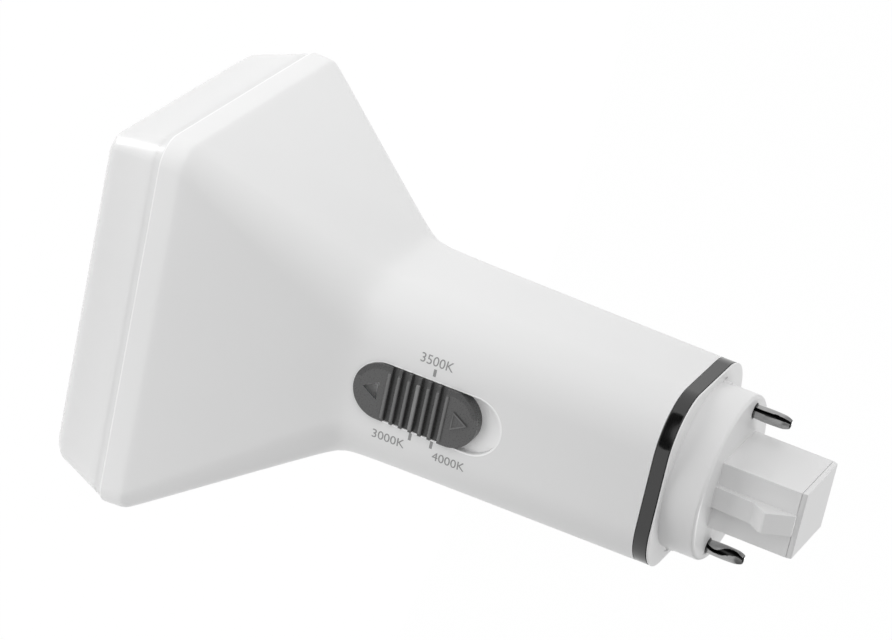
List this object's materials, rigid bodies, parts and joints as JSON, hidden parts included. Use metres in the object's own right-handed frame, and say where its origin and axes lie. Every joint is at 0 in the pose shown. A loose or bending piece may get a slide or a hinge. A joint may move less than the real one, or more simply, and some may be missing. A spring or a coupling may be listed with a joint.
{
  "type": "led plug-in lamp",
  "caption": "LED plug-in lamp with a rectangular diffuser head, a flared square neck, a sliding colour selector and a two-pin plug base with a keyed post.",
  "frame": {"origin": "centre of the bounding box's bottom, on the front of the lens cover", "axes": "+Z from the lens front to the plug's end, -Y the side with the colour selector, X across the wide side of the head"},
  "size_m": [0.0694, 0.0586, 0.1279],
  "materials": {
    "housing_white": "fine satin",
    "lens_frosted": "satin, diffusing",
    "ring_dark": "high gloss",
    "cap_white": "fine satin",
    "pin_nickel": "nickel plated",
    "knob_dark": "satin",
    "lever_dark": "satin",
    "steel_bright": "zinc plated",
    "sheet_aluminium": "mill finish",
    "lamp_board_core": "white solder mask",
    "laminate_green": "solder mask",
    "ferrite": "sintered",
    "winding": "taped copper winding",
    "black_sleeve": "sleeved can",
    "blue_sleeve": "sleeved can",
    "film_case": "moulded box",
    "fuse_coat": "lacquer",
    "varistor_coat": "lacquer",
    "black_part": "moulded",
    "white_part": "moulded",
    "wire_white": "insulation",
    "wire_red": "insulation",
    "wire_yellow": "insulation"
  },
  "bodies": {
    "lamp": {"housing": "housing_white", "lens_cover": "lens_frosted", "accent_ring": "ring_dark", "base_cap": "cap_white", "contact_pin_1": "pin_nickel", "contact_pin_2": "pin_nickel", "switch_case": "steel_bright", "heat_spreader": "sheet_aluminium", "lamp_board": "lamp_board_core", "board_screw_1": "steel_bright", "board_screw_2": "steel_bright", "board_screw_3": "steel_bright", "board_screw_4": "steel_bright", "driver_board": "laminate_green", "transformer_core": "ferrite", "transformer_winding": "winding", "input_capacitor": "black_sleeve", "output_capacitor": "blue_sleeve", "film_capacitor": "film_case", "choke": "ferrite", "fuse_resistor": "fuse_coat", "varistor": "varistor_coat", "bridge_rectifier": "black_part", "controller_chip": "black_part", "output_header": "white_part", "lamp_connector": "white_part", "mains_wire_1": "wire_white", "mains_wire_2": "wire_white", "lamp_wire_1": "wire_red", "lamp_wire_2": "wire_yellow", "lamp_wire_3": "wire_white"},
    "selector": {"selector_knob": "knob_dark", "switch_lever": "lever_dark"}
  },
  "joints": [
    {"name": "selector_slide", "type": "slide", "parent": "lamp", "child": "selector", "axis": [0, 0, 1], "range_m": [0, 0.004]}
  ]
}
